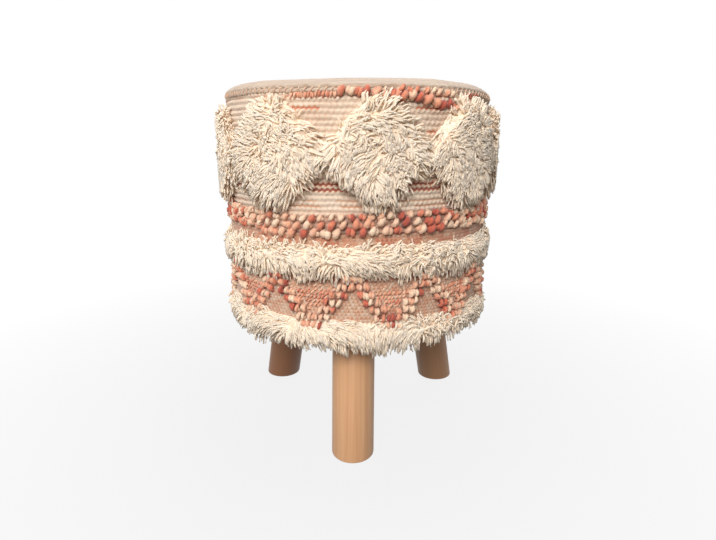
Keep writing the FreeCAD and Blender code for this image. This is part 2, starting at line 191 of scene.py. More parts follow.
def dress(piece, finish, smooth=True):
    """Give a piece its material and slot, and let it ride on the stool's only body."""
    piece.data.materials.clear()
    piece.data.materials.append(finish.material)
    if "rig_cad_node" not in piece:
        piece.data.polygons.foreach_set("use_smooth", [smooth] * len(piece.data.polygons))
        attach(piece, "root")


PLY_WAVES = 2100

plywood = Finish("birch_plywood", Roughness=0.62)
plies = (plywood.axis(plywood.place(), 2) * PLY_WAVES).sine()
figure = plywood.noise(6, 6, 0.6, (6, 60, 6))
ply_face = plywood.ramp(figure, (0.3, 196, 160, 114), (0.7, 222, 190, 146))
ply_edge = plywood.ramp(plies * 0.5 + 0.5, (0.35, 166, 124, 80), (0.65, 226, 196, 152))
side_up = plywood.axis(plywood.add("ShaderNodeNewGeometry", output="Normal"), 2).size()
plywood.give(Base_Color=plywood.blend(side_up.over(0.5), ply_edge, ply_face))
plywood.bump(figure, 0.0004, 0.4)
dress(nodes["base_board"], plywood)
dress(nodes["top_board"], plywood)

post_wood = Finish("softwood_post", Roughness=0.6)
grain = post_wood.noise(5, 5, 0.6, (70, 70, 3))
post_wood.give(Base_Color=post_wood.ramp(grain, (0.3, 198, 160, 108), (0.68, 228, 196, 146)))
post_wood.bump(grain, 0.0005, 0.4)
for number in range(1, 7):
    dress(nodes["frame_post_%d" % number], post_wood)


# Drum wall
# A strip of 3 mm fibreboard bent round the boards and posts and stapled to their edges.
# Its face is smooth and brown, with the fine fleck of pressed fibres.

fibreboard = Finish("pressed_fibreboard", Roughness=0.7)
fleck = fibreboard.noise(900, 4, 0.7)
fibreboard.give(Base_Color=fibreboard.ramp(fleck, (0.3, 116, 82, 54), (0.7, 160, 120, 84)))
fibreboard.bump(fleck, 0.0002, 0.5)
dress(nodes["drum_wall"], fibreboard)


# Foam
# A thick disc of cut foam glued on the top board, with its upper edge rounded over.
# A thin sheet of the same foam is wrapped round the drum wall.

MM = 0.001


def in_scene(name, data):
    """Put a mesh, a curve, a lamp or a camera in the scene as an object at the origin."""
    thing = bpy.data.objects.new(name, data)
    bpy.context.scene.collection.objects.link(thing)
    return thing


def work_on(mesh, recipe):
    """Run a bmesh recipe on a mesh."""
    work = bmesh.new()
    work.from_mesh(mesh)
    recipe(work)
    work.to_mesh(mesh)
    work.free()


def new_piece(name, recipe):
    """A new piece of the scene, made by a bmesh recipe."""
    mesh = bpy.data.meshes.new(name)
    work_on(mesh, recipe)
    return in_scene(name, mesh)


def lathe(work, outline, steps, closed=True):
    """Spin an outline of (radius, height) in millimetres about the stool's axis."""
    points = [work.verts.new((radius * MM, 0, height * MM)) for radius, height in outline]
    pairs = list(zip(points, points[1:] + points[:1] if closed else points[1:]))
    edges = [work.edges.new(pair) for pair in pairs if pair[0] is not pair[1]]
    axis = {"cent": (0, 0, 0), "axis": (0, 0, 1)}
    bmesh.ops.spin(work, geom=points + edges, angle=math.tau, steps=steps, use_merge=True, **axis)
    bmesh.ops.remove_doubles(work, verts=work.verts, dist=1e-6)
    bmesh.ops.recalc_face_normals(work, faces=work.faces)


foam = Finish("cut_foam", Roughness=0.9)
pores = foam.add("ShaderNodeTexVoronoi", {}, {"Vector": foam.place(), "Scale": 700})
foam.give(Base_Color=foam.ramp(pores, (0.1, 214, 200, 158), (0.5, 240, 230, 196)))
foam.bump(pores, 0.0006, 0.6)

SEAT_HEIGHT = 450.0
CROWN = 21.0
DRUM_RADIUS = 169.0
SLUMP_TURN = 1.4
SLUMP_WIDTH = 0.4


def swell(value, middle, width):
    """A smooth swell: 1 at its middle and next to nothing two widths away."""
    return np.exp(-(((value - middle) / width) ** 2))


def polar(point):
    """How far a point is from the stool's axis in millimetres, and its turn about it."""
    return math.hypot(point.x, point.y) / MM, math.atan2(point.x, -point.y)


def crown_drop(radius, turn):
    """How far the seat has sunk: worn down towards the front and back, rounded at its rim.

    The padding has also slipped a few millimetres down at the right.
    """
    worn = (0.85 - 0.48 * math.sin(turn) ** 2) * (radius / DRUM_RADIUS) ** 2
    rim = min(max((radius - 140) / 29.5, 0), 1)
    slump = 4.5 * swell(turn, SLUMP_TURN, SLUMP_WIDTH) * (radius / DRUM_RADIUS) ** 4
    return CROWN * (1 - (1 - worn) * math.sqrt(1 - rim**2)) + slump


def shape_seat_foam(work):
    shoulder = [(radius, 446.0) for radius in (162, 157, 151, 144, 132, 114, 92, 64, 32, 0)]
    lathe(work, [(0, 400.8), (162, 400.8), (164.2, 403), (164.4, 416)] + shoulder, 96, closed=False)
    for vertex in work.verts:
        if vertex.co.z > 440 * MM:
            reach, turn = polar(vertex.co)
            vertex.co.z -= (crown_drop(reach + 3, turn) + 0.8) * MM


seat_foam = new_piece("seat_foam_pad", shape_seat_foam)
dress(seat_foam, foam)
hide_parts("seat_foam")

wrap_outline = [(156.8, 153), (158, 152.4), (160, 152.4), (164.6, 166), (164.6, 399)]
wrap_outline += [(163.5, 400.3), (158, 400.3), (156.8, 399)]
side_foam = new_piece("side_foam_wrap", lambda work: lathe(work, wrap_outline, 96))
dress(side_foam, foam)
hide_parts("side_padding")


# Legs
# Three round legs turned from light pine, left bare and waxed, that lean outwards a little.
# Each is sawn level at the foot, its edges sanded over, and hides a hanger bolt in its top.

LEG_NAMES = ("front", "right", "left")
LEG_TURNS = [math.radians(degrees) for degrees in (-92.3, 27.7, 147.7)]
# How far each leg is darkened towards brown: painted shade, the two back legs as if in the drum's
# shadow.
LEG_PAINTED_SHADES = (0.0, 0.42, 0.9)
LEG_LEAN = math.radians(10.75)
LEG_RADIUS = 26.0
FOOT_CIRCLE = 146.4
LEG_LENGTH = 146.62
LEG_EDGE = 1.8


def leg_frame(turn):
    """From a leg's own axis, with its foot at 0, to its place under the drum."""
    out = Matrix.Rotation(turn, 4, "Z") @ Matrix.Translation((FOOT_CIRCLE * MM, 0, 0))
    return out @ Matrix.Rotation(-LEG_LEAN, 4, "Y")


def only(kind, parts):
    return [part for part in parts if isinstance(part, kind)]


def shape_leg(work, place):
    """A leg made too long at the foot, then sawn level with the floor and eased."""
    spare = 12
    bmesh.ops.create_cone(
        work,
        cap_ends=True,
        segments=72,
        radius1=LEG_RADIUS * MM,
        radius2=LEG_RADIUS * MM,
        depth=(LEG_LENGTH + spare) * MM,
        matrix=place @ Matrix.Translation((0, 0, (LEG_LENGTH - spare) * MM / 2)),
    )
    whole = work.verts[:] + work.edges[:] + work.faces[:]
    cut = bmesh.ops.bisect_plane(
        work, geom=whole, plane_co=(0, 0, 0), plane_no=(0, 0, -1), clear_outer=True
    )
    rim = only(bmesh.types.BMEdge, cut["geom_cut"])
    bmesh.ops.contextual_create(work, geom=rim)
    axis = (place.to_3x3() @ Vector((0, 0, 1))).normalized()
    ends = []
    for edge in work.edges:
        along = (edge.verts[0].co - edge.verts[1].co).normalized()
        if edge.calc_face_angle(0) > math.radians(60) and abs(along.dot(axis)) < 0.5:
            ends.append(edge)
    bmesh.ops.bevel(
        work, geom=ends, offset=LEG_EDGE * MM, segments=3, profile=0.5, affect="EDGES", material=-1
    )
    bmesh.ops.recalc_face_normals(work, faces=work.faces)


def store(mesh, name, values):
    """Store a value for each point of a mesh, or the same one for all."""
    data = mesh.attributes.new(name, "FLOAT", "POINT").data
    data.foreach_set("value", np.full(len(data), values, np.float32))


def keep_own_grain(piece, place, shift):
    """Store where each point lies in the wood that the piece was turned from."""
    back = place.inverted()
    grain = piece.data.attributes.new("grain", "FLOAT_VECTOR", "POINT")
    spots = [back @ vertex.co + Vector(shift) for vertex in piece.data.vertices]
    grain.data.foreach_set("vector", np.array(spots, np.float32).ravel())


leg_wood = Finish("waxed_pine", Roughness=0.48, Coat_Roughness=0.35)
wood_spot = leg_wood.place(attribute="grain")
warp = leg_wood.noise(1.0, 3, 0.5, (22, 22, 3), "grain")
across_wood = leg_wood.axis(wood_spot, 0)
through_wood = leg_wood.axis(wood_spot, 1)
ring_radius = (across_wood * across_wood + through_wood * through_wood) ** 0.5
rings = ((ring_radius * 900) + warp * 16).sine() * 0.5 + 0.5
streaks = leg_wood.noise(1.0, 5, 0.65, (260, 260, 5), "grain")
patches = leg_wood.noise(1.0, 2, 0.5, (30, 30, 9), "grain")
pale_wood = leg_wood.ramp(
    streaks, (0.3, 190, 141, 100), (0.52, 204, 158, 117), (0.75, 214, 173, 133)
)
late_wood = leg_wood.blend((rings**4) * 0.28, pale_wood, colour(184, 128, 84))
warm_wood = leg_wood.blend(patches * 0.35, late_wood, colour(207, 146, 98))
leg_wood.give(
    # Each leg is blended towards dark brown by its stored painted shade.
    Base_Color=leg_wood.blend(leg_wood.attribute("tone"), warm_wood, colour(136, 86, 52)),
    Roughness=0.42 + streaks * 0.16,
    Coat_Weight=0.08 + patches * 0.08,
)
leg_wood.bump(streaks + rings * 0.3, 0.00025, 0.35)
for name, turn, leg_shade in zip(LEG_NAMES, LEG_TURNS, LEG_PAINTED_SHADES):
    place = leg_frame(turn)
    leg = new_piece("turned_leg_" + name, lambda work: shape_leg(work, place))
    dress(leg, leg_wood)
    leg.data.set_sharp_from_angle(angle=math.radians(35))
    keep_own_grain(leg, place, (0.031, 0.018 - 0.02 * turn, 0.3 * turn))
    store(leg.data, "tone", leg_shade)
    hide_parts("leg_" + name)


# Leg plates, bolts and screws
# Angled steel plates screwed up under the base board, each with a tilted boss for the leg.
# Zinc plated: dull and faintly brushed. Four pan head screws hold each plate.

PLATE_UNDERSIDE = 149.2
PLATE_CIRCLE = FOOT_CIRCLE - PLATE_UNDERSIDE * math.tan(LEG_LEAN)
SCREW_OFFSET = 18.0
SCREW_SIDES = 12

steel = Finish("zinc_plated_steel", Metallic=1.0)
brushing = steel.noise(1.0, 4, 0.6, (40, 900, 900))
stain = steel.noise(60, 4, 0.6)
steel.give(
    Base_Color=steel.ramp(stain, (0.3, 160, 160, 156), (0.7, 198, 198, 194)),
    Roughness=0.3 + brushing * 0.25,
)
steel.bump(brushing, 0.0001, 0.3)
for name in LEG_NAMES:
    dress(nodes["leg_plate_" + name], steel)
    dress(nodes["leg_bolt_" + name], steel)


def shape_screws(work):
    """Four pan heads under each plate, with a cross recess pushed in."""
    for turn in LEG_TURNS:
        for across, along in ((1, 1), (1, -1), (-1, -1), (-1, 1)):
            corner = (PLATE_CIRCLE + SCREW_OFFSET * across, SCREW_OFFSET * along, PLATE_UNDERSIDE)
            spot = Matrix.Rotation(turn, 4, "Z") @ Matrix.Translation(Vector(corner) * MM)
            made = bmesh.ops.create_cone(
                work,
                cap_ends=True,
                segments=SCREW_SIDES,
                radius1=2.0 * MM,
                radius2=3.6 * MM,
                depth=2.0 * MM,
                matrix=spot @ Matrix.Translation((0, 0, -1.0 * MM)),
            )
            low = min(vertex.co.z for vertex in made["verts"])
            cap = [
                face
                for face in {face for vertex in made["verts"] for face in vertex.link_faces}
                if len(face.verts) == SCREW_SIDES and abs(face.calc_center_median().z - low) < 1e-6
            ]
            bmesh.ops.inset_individual(work, faces=cap, thickness=0.5 * MM)
            middle = cap[0].calc_center_median()
            for place, vertex in enumerate(cap[0].verts):
                if place % 3:
                    vertex.co = middle + (vertex.co - middle) * 0.38
            pushed = bmesh.ops.extrude_discrete_faces(work, faces=cap)["faces"]
            for vertex in pushed[0].verts:
                vertex.co.z += 1.0 * MM


screws = new_piece("plate_screws", shape_screws)
dress(screws, steel, smooth=False)


# Dust cover
# A disc of thin black non-woven cloth over the underside of the base board, stapled tight.
# The legs' plates are screwed on through it.

DUST_RADIUS = 147.0

dust_cloth = Finish("spunbond_cloth", Roughness=0.85, Sheen_Weight=0.15)
dimples = dust_cloth.add("ShaderNodeTexVoronoi", {}, {"Vector": dust_cloth.place(), "Scale": 800})
lint = dust_cloth.noise(1500, 3, 0.7)
dust_cloth.give(Base_Color=dust_cloth.ramp(lint, (0.3, 34, 34, 34), (0.7, 62, 61, 59)))
dust_cloth.bump(dimples, 0.0002, 0.6)

dust_outline = [(0, 151.75), (60, 151.7), (120, 151.8), (146.4, 151.9), (DUST_RADIUS, 152.1)]
dust_outline += [(146.4, 152.3), (120, 152.3), (60, 152.3), (0, 152.3)]
dust_cover = new_piece(
    "stapled_dust_cover", lambda work: lathe(work, dust_outline, 96, closed=False)
)
dress(dust_cover, dust_cloth)
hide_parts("dust_cover")


# Woven cover: the side
# Handwoven on a loom: thick wool wefts, beaten down on a cotton warp, so only the wefts show.
# Cream rows with thin coral, pink and brick red lines between them, and a finer weave below.

SEAM_HEIGHT = 424.0
WEAVE_SPLIT = 278.0
WALL = 4.0


def drum_points(turn, radius, height):
    """Points in metres from a turn about the axis, 0 in front and growing to the right."""
    return np.stack([radius * np.sin(turn), -radius * np.cos(turn), height], axis=-1) * MM


def read_points(mesh):
    flat = np.empty(len(mesh.vertices) * 3, np.float32)
    mesh.vertices.foreach_get("co", flat)
    return flat.reshape(-1, 3)


def write_points(mesh, points):
    mesh.vertices.foreach_set("co", np.asarray(points, np.float32).ravel())
    mesh.update()


def wander(places, scale, seed):
    """Smooth noise from -1 to 1 at each of many places in millimetres."""
    shift = Vector((seed * 7.3, seed * 3.1, seed * 5.7))
    return np.array([noise.noise(Vector(place) / scale + shift) for place in places])


def wander_round(turn, height, scale, seed):
    return wander(drum_points(turn, DRUM_RADIUS, height) / MM, scale, seed)


CORNER = 14.0
CORNER_TOP = 162.0


def seam_height(turn):
    """The seam rides up a little at the sides, where the seat is fuller, less where it slumps."""
    return SEAM_HEIGHT + 4.0 * np.sin(turn) ** 2 - 4.0 * swell(turn, SLUMP_TURN, SLUMP_WIDTH)


def side_radius(height):
    """Radius of the cover's side, pulled in a little by the seam and rounded at the bottom."""
    pulled = np.clip((height - 398) / 26, 0, 1)
    low = np.clip((CORNER_TOP - height) / CORNER, 0, 1)
    return DRUM_RADIUS - 2.0 * pulled**2 - CORNER * (1 - np.sqrt(1 - low**2))


def side_path(run):
    """Radius and height on the cover's side at a run in mm below the split, into the lip."""
    straight = WEAVE_SPLIT - CORNER_TOP
    angle = np.clip((run - straight) / CORNER, 0, math.pi / 2)
    inward = np.clip(run - straight - CORNER * math.pi / 2, 0, None)
    radius = DRUM_RADIUS - CORNER * (1 - np.cos(angle)) - inward
    height = WEAVE_SPLIT - np.clip(run, 0, straight) - CORNER * np.sin(angle)
    return radius, height, angle


def grow_rims(work):
    """Extrude the open edges, and give back the new vertices and edges."""
    rims = [edge for edge in work.edges if edge.is_boundary]
    made = bmesh.ops.extrude_edge_only(work, edges=rims)["geom"]
    return only(bmesh.types.BMVert, made), only(bmesh.types.BMEdge, made)


def woven_tube(name, columns, rows, shape):
    """A tube of columns by rows of points, rolled from a flat grid, with a plain inner wall."""

    def flat_grid(work):
        work.loops.layers.uv.new("UVMap")
        bmesh.ops.create_grid(work, x_segments=columns, y_segments=rows, size=1, calc_uvs=True)

    def join_and_line(work):
        bmesh.ops.remove_doubles(work, verts=work.verts, dist=1e-6)
        vertices, edges = grow_rims(work)
        for vertex in vertices:
            x, y, z = vertex.co
            radius, height = inner(z / MM)
            share = radius * MM / math.hypot(x, y)
            vertex.co = (x * share, y * share, height * MM)
        bmesh.ops.bridge_loops(work, edges=[edge for edge in edges if edge.is_boundary])
        bmesh.ops.recalc_face_normals(work, faces=work.faces)

    tube = new_piece(name, flat_grid)
    flat = read_points(tube.data)
    points, dye, tone, inner = shape((flat[:, 0] + 1) / 2, (flat[:, 1] + 1) / 2)
    write_points(tube.data, points)
    store(tube.data, "dye", dye)
    store(tube.data, "tone", tone)
    work_on(tube.data, join_and_line)
    return tube


UPPER_ROWS = 25
UPPER_STITCHES = 176
BAND_TOP = 303.0

# Coloured lines of the upper weave: which groove, how strong and how patchy
UPPER_LINES = {5: (0.5, 0.4), 6: (0.42, 0.5), 8: (1.2, 0.0), 9: (1.1, 0.35)}
UPPER_LINES |= {11: (0.9, 0.5), 18: (0.8, 0.6), 22: (0.78, 0.35), 24: (0.6, 0.5)}


def yarn_lot(row, stitch):
    """A share from 0 to 1 that belongs to one stitch of one row."""
    mixed = np.sin(row * 78.233 + stitch * 12.9898) * 43758.5453
    return mixed - np.floor(mixed)


def band_dip(turn):
    """How far the looped band hangs below its line, left of the front."""
    return -5.0 * swell(turn, -0.38, 0.36)


def weave_rows(up, rows):
    """Which row each point is in, counted from below, and the share that it lies up in it."""
    row = np.floor(up * rows + 1e-4)
    return row, np.clip(up * rows - row, 0, 1)


def upper_weave(around, up):
    """Thick twisted rows, each bump half a stitch along from the row below."""
    turn = (around * 2 - 1) * math.pi
    row, within = weave_rows(up, UPPER_ROWS)
    crest = np.sin(math.pi * within) ** 0.6
    lean = (0.9 - 1.8 * (row % 2)) * (within - 0.5) * 0.5
    spot = around * UPPER_STITCHES + 0.5 * (row % 2) + lean
    bump = np.sqrt(0.5 + 0.5 * np.cos(math.tau * spot))
    lot = yarn_lot(row, np.round(spot) % UPPER_STITCHES)
    height = WEAVE_SPLIT + up * (seam_height(turn) - WEAVE_SPLIT)
    slack = wander_round(turn, height, 60, 1)
    relief = crest * (0.7 + 2.0 * bump * (0.8 + 0.4 * lot)) * (1 + 0.2 * slack)
    lift = 0.7 * wander_round(turn, height, 20, 2)
    radius = side_radius(height) - 1.8 + relief + 1.5 * slack
    # Darker in the grooves between rows and the gaps between stitches: partly the warp showing,
    # partly painted shade.
    dye = -0.02 + 0.14 * (1 - crest) + 0.22 * (1 - bump) * crest + 0.06 * lot
    dye = dye + 0.1 * (wander_round(turn, height, 45, 4) > 0.25)
    # Darker all through the loop band: painted shade among the loops.
    dye = dye + np.where(height < BAND_TOP, 0.1, 0.0)
    dye = dye - 0.08 * swell(height, 314, 12)
    groove = np.round(up * UPPER_ROWS)
    at_groove = np.abs(up * UPPER_ROWS - groove)
    patch = wander_round(turn, height * 0.2 + groove * 9, 28, 3)
    faded = swell(turn, -0.95, 0.35) * swell(height, 408, 22)
    for line, (strength, holes) in UPPER_LINES.items():
        shows = (at_groove < 0.22 + 0.11 * (1 - bump)) & (groove == line) & (patch > holes - 0.6)
        line_dye = strength - 0.45 * bump * (within > 0.05) + 0.1 * patch
        dye = np.where(shows, dye + (line_dye - dye) * (1 - 0.9 * faded), dye)
    # Painted shade on the ground under the loop band, and in the grooves between rows.
    band_painted_shade = np.clip((BAND_TOP + band_dip(turn) - height) / 3, 0, 1)
    tone = 0.5 * band_painted_shade + 0.12 * (1 - crest)
    points = drum_points(turn, radius, height + lift)
    return points, dye, tone, lambda z: (DRUM_RADIUS - WALL, z)


ZIGZAG_PEAKS = sorted(
    math.radians(turn) for turn in (-154, -124, -94, -63, -33, -2, 27, 56, 86, 116, 146, 176)
)
ZIGZAG_TOP = 229.0
ZIGZAG_ROW = 9.0
ZIGZAG_REACH = 6.6
ZIGZAG_ARMS = list(zip(ZIGZAG_PEAKS, ZIGZAG_PEAKS[1:] + ZIGZAG_PEAKS[:1]))
ZIGZAG_TURNS = []
for peak, following in ZIGZAG_ARMS:
    ZIGZAG_TURNS += [peak, peak + (following - peak) % math.tau / 2]
ZIGZAG_HEIGHTS = [ZIGZAG_TOP, ZIGZAG_TOP - ZIGZAG_REACH * ZIGZAG_ROW] * len(ZIGZAG_PEAKS)

MIDDLE_PILE_LOW = 234
LOWER_ROWS = 38
LOWER_STITCHES = 212
LOWER_RUN = WEAVE_SPLIT - CORNER_TOP + CORNER * math.pi / 2 + 6.5


def lower_inside(height):
    """Radius and height of the lower weave's inner side. Its lip lies under the base board."""
    return (DRUM_RADIUS - WALL, height) if height > 170 else (DRUM_RADIUS - 20.5, 151.9)


def lower_weave(around, up):
    """A finer basket weave that runs down, round the bottom edge and in under the board."""
    turn = (around * 2 - 1) * math.pi
    radius, height, angle = side_path((1 - up) * LOWER_RUN)
    row, within = weave_rows(up, LOWER_ROWS)
    crest = np.where(within < 0.1, 0.0, 1.0)
    spot = around * LOWER_STITCHES + 0.36 * row
    bump = 0.5 + 0.5 * np.cos(math.tau * spot)
    lot = yarn_lot(row, np.round(spot) % LOWER_STITCHES)
    slack = wander_round(turn, height, 60, 1)
    under = angle > 1.5
    relief = (0.35 + 0.65 * crest) * (0.2 + 2.0 * bump)
    pleat = np.sin(turn * 44 + 2.2 * slack) * 0.5
    out = relief - 0.9 + np.where(under, 0, 1.5 * slack)
    radius = radius + np.cos(angle) * out
    height = height - np.sin(angle) * np.where(under, 0.4 * relief + pleat, out)
    broad = wander_round(turn, height, 26, 6)
    # Darker in the gaps between stitches and rows: partly the warp showing, partly painted shade.
    dye = 0.02 + 0.3 * lot + 0.1 * broad + 0.05 * (1 - crest) + 0.32 * (1 - bump)
    # A tan strip below the split, also darker in its gaps: partly the warp, partly painted shade.
    strip = (height > 264) & (height < 277)
    dye = np.where(strip, 0.22 + 0.16 * lot + 0.08 * (1 - crest) + 0.14 * (1 - bump), dye)
    patch = wander_round(turn, 0 * height + 270, 26, 5)
    dashes = (np.abs(height - 269.5) < 4.0) & (bump > 0.3) & (lot + 0.6 * patch > 0.35)
    dye = np.where(dashes, 0.58 + 0.25 * patch, dye)
    arm = np.interp(turn, ZIGZAG_TURNS, ZIGZAG_HEIGHTS, period=math.tau)
    # Painted shade: under the middle pile's lower fringe, below the loop band at the split, round
    # the zigzag's arms and in the gaps between stitches.
    tone = 0.7 * swell(height, ZIGZAG_TOP, 6) + 0.28 * swell(height, WEAVE_SPLIT, 4)
    tone = np.maximum(tone, 0.7 * swell(height, arm, 10) * (height < MIDDLE_PILE_LOW))
    tone = tone + 0.22 * (1 - bump)
    dye = np.where(height < 158, 0.03 + 0.08 * (1 - crest), dye)
    return drum_points(turn, radius, height), dye, tone, lower_inside


cover_weave = Finish("woven_wool", Roughness=0.92, Sheen_Weight=0.25, Sheen_Roughness=0.6)
wool_mottle = cover_weave.noise(130, 3, 0.6)
fibres = cover_weave.noise(1400, 3, 0.65, (1, 1, 2.4))
woven_colour = cover_weave.ramp(
    cover_weave.attribute("dye") + (wool_mottle - 0.5) * 0.16,
    (0.0, 232, 213, 190),
    (0.2, 219, 194, 170),
    (0.42, 213, 164, 131),
    (0.7, 199, 110, 79),
    (1.0, 140, 62, 48),
)
fuzzy_colour = cover_weave.blend(fibres * 0.3, woven_colour, colour(198, 160, 134))
# Blended towards brown by the weave's stored painted shade.
painted_shade = cover_weave.attribute("tone")
cover_weave.give(Base_Color=cover_weave.blend(painted_shade, fuzzy_colour, colour(138, 80, 54)))
cover_weave.bump(fibres, 0.0006, 0.55)

cover_upper = woven_tube("woven_side_upper", UPPER_STITCHES * 4, UPPER_ROWS * 4, upper_weave)
dress(cover_upper, cover_weave)
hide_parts("cover_side_panel")
cover_lower = woven_tube("woven_side_lower", LOWER_STITCHES * 3, LOWER_ROWS * 3, lower_weave)
dress(cover_lower, cover_weave)
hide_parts("cover_side_panel")


# Woven cover: the top
# A round panel cut from plain beige cloth of the same loom, sewn to the side all round.
# It is pulled over the foam's rounded shoulder, so it crowns and dips a little.

TOP_RADII = (0, 20, 45, 70, 92, 110, 126, 138, 147, 154, 159.5, 163.5, 166.5, 168.4, 169.3)


def even_radii(section, steps):
    """Radii at even runs along a section of (radius, height) corners."""
    corners = np.array(section, float)
    run = np.concatenate([[0], np.cumsum(np.hypot(*np.diff(corners, axis=0).T))])
    return np.interp(np.linspace(0, run[-1], steps), run, corners[:, 0])


def shape_top_panel(work):
    section = [(radius, -crown_drop(radius, math.pi / 2)) for radius in TOP_RADII]
    lathe(work, [(radius, SEAT_HEIGHT) for radius in even_radii(section, 54)], 360, closed=False)
    for vertex in work.verts:
        vertex.co.z -= crown_drop(*polar(vertex.co)) * MM
    for vertex in grow_rims(work)[0]:
        vertex.co.x *= 0.985
        vertex.co.y *= 0.985
        fold = seam_height(polar(vertex.co)[1]) + 2
        vertex.co.z = (min(vertex.co.z / MM, fold) - 1.5) * MM
    bmesh.ops.recalc_face_normals(work, faces=work.faces)


top_cover = new_piece("woven_top_panel", shape_top_panel)
top_points = read_points(top_cover.data) / MM
sag = wander(top_points, 70, 8) * 1.1 + wander(top_points, 24, 9) * 0.5
middle_share = np.clip((172 - np.hypot(top_points[:, 0], top_points[:, 1])) / 30, 0, 1)
top_points[:, 2] += sag * middle_share - 0.6
write_points(top_cover.data, top_points * MM)
wall = top_cover.modifiers.new("cloth", "SOLIDIFY")
wall.thickness = WALL * MM * 0.8
wall.offset = -1

WEFT_STEP = 0.0052
WARP_STEP = 0.0068

top_weave = Finish("woven_top_cloth", Roughness=0.92, Sheen_Weight=0.25, Sheen_Roughness=0.6)
top_spot = top_weave.place()
bend = top_weave.noise(14, 2, 0.5)
weft_place = top_weave.axis(top_spot, 1) * (math.pi / WEFT_STEP) + bend * 1.4
warp_place = top_weave.axis(top_spot, 0) * (math.pi / WARP_STEP) + bend * 1.2
stitches = (weft_place.sine() * warp_place.sine()) * 0.5 + 0.5
weft_rib = (weft_place * 2 + 1.57).sine() * 0.5 + 0.5
top_fibres = top_weave.noise(1300, 3, 0.65, (1, 2.2, 1))
top_mottle = top_weave.noise(6, 3, 0.6, (3, 22, 3))
top_colour = top_weave.ramp(
    top_mottle * 0.8 + stitches * 0.25,
    (0.25, 182, 156, 135),
    (0.55, 200, 178, 156),
    (0.8, 213, 195, 172),
)
between_ribs = (1 - weft_rib) * 0.35
top_weave.give(Base_Color=top_weave.blend(between_ribs, top_colour, colour(176, 138, 112)))
top_weave.bump(stitches * 0.6 + weft_rib * 0.8 + top_fibres * 0.35, 0.0014, 0.8)
dress(top_cover, top_weave)
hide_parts("cover_top_panel")


# Seam round the top
# The edges of the top and side panels are folded in and whipped together by hand.
# The fold stands out as a soft ridge, with a slanting stitch of beige wool every few millimetres.

SEAM_STITCHES = 145


def yarn_piece(name, paths, widths, level=0, **stored):
    """Yarns, each along its own line of points, made by a bevelled curve and then a mesh.

    paths and widths are in metres, one row for each yarn. Values in stored are one for each yarn.
    """
    curve = bpy.data.curves.new(name, "CURVE")
    curve.dimensions = "3D"
    curve.bevel_depth = 1.0
    curve.bevel_resolution = level
    curve.use_fill_caps = True
    count, length = paths.shape[:2]
    lines = np.ones((count, length, 4), np.float32)
    lines[:, :, :3] = paths
    widths = np.ascontiguousarray(np.broadcast_to(widths, (count, length)), np.float32)
    for line, width in zip(lines, widths):
        spline = curve.splines.new("POLY")
        spline.points.add(length - 1)
        spline.points.foreach_set("co", line.ravel())
        spline.points.foreach_set("radius", width)
    carrier = in_scene(name, curve)
    mesh = bpy.data.meshes.new_from_object(carrier)
    bpy.data.objects.remove(carrier)
    mesh.name = name
    sides = 4 + 2 * level
    owner = np.concatenate(
        [np.repeat(np.arange(count), 2 * sides), np.repeat(np.arange(count), length * sides)]
    )
    steps = np.repeat(np.linspace(0, 1, length), sides)
    along = np.concatenate([np.tile(np.repeat([1.0, 0.0], sides), count), np.tile(steps, count)])
    store(mesh, "along", along)
    for key, values in stored.items():
        store(mesh, key, np.asarray(values)[owner])
    work_on(mesh, lambda work: bmesh.ops.remove_doubles(work, verts=work.verts, dist=1e-7))
    return in_scene(name, mesh)


def seam_fullness(turn):
    """How many times thicker the fold is: more at the sides, where the seat is fuller."""
    return 1 + 0.8 * np.sin(turn) ** 2


def turns_round(count):
    return np.linspace(-math.pi, math.pi, count, endpoint=False)[:, None]


def whip_stitches(low, high, lean):
    """Short arcs of yarn over the seam, each leaning a little along it."""
    turn = turns_round(SEAM_STITCHES)
    steps = np.linspace(0, 1, 5)[None, :]
    radius = DRUM_RADIUS - 2.2 + 2.4 * np.sin(math.pi * steps)
    height = seam_height(turn) + (low + (high - low) * steps) * seam_fullness(turn)
    return drum_points(turn + lean * (steps - 0.5), radius + 0 * turn, height)


def shape_seam(work):
    ridge = [(165.5, -2.0), (167.8, -2.1), (168.7, -1.0), (168.7, 0.6), (167.8, 1.6), (165.5, 1.8)]
    lathe(work, ridge, 240)
    for vertex in work.verts:
        turn = polar(vertex.co)[1]
        ripple = 0.35 * math.sin(turn * SEAM_STITCHES) + 0.8 * noise.noise(vertex.co / 0.05)
        level = vertex.co.z / MM * seam_fullness(turn)
        vertex.co.z = (level + seam_height(turn) + ripple) * MM


seam_ridge = new_piece("seam_ridge", shape_seam)
dress(seam_ridge, top_weave)
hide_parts("top_seam")

seam_wool = Finish("beige_wool_thread", Roughness=0.9, Sheen_Weight=0.2)
twist = seam_wool.noise(900, 3, 0.6)
seam_wool.give(Base_Color=seam_wool.ramp(twist, (0.3, 196, 158, 132), (0.7, 228, 196, 168)))
seam_wool.bump(twist, 0.0004, 0.5)
seam_stitches = yarn_piece("seam_stitches", whip_stitches(-2.4, 3.0, 0.024), 0.95 * MM)
dress(seam_stitches, seam_wool)


# Long wool pile
# Tufts of soft ivory wool knotted into the weave and cut long, so that they fall over each other.
# They make a chain of nine diamonds at the top, a band round the middle and one at the bottom.

PILE_NOTCHES = [math.radians(turn) for turn in (-132, -92, -52, -12, 25, 65, 106, 147, 188)]
UPPER_PILE_TOP = 415.0
UPPER_PILE_LOW = 310.0
UPPER_NOTCH_LOW = 372.0
LOWER_NOTCH_HIGH = 350.0
NOTCH_SPREAD = 13.5
YARN_SPACING = 2.9
YARN_TAPER = np.array([1.0, 1.1, 1.1, 1.0, 0.75])
LOCK_SIZE = 8.0


def wrapped(turn):
    return (turn + math.pi) % math.tau - math.pi


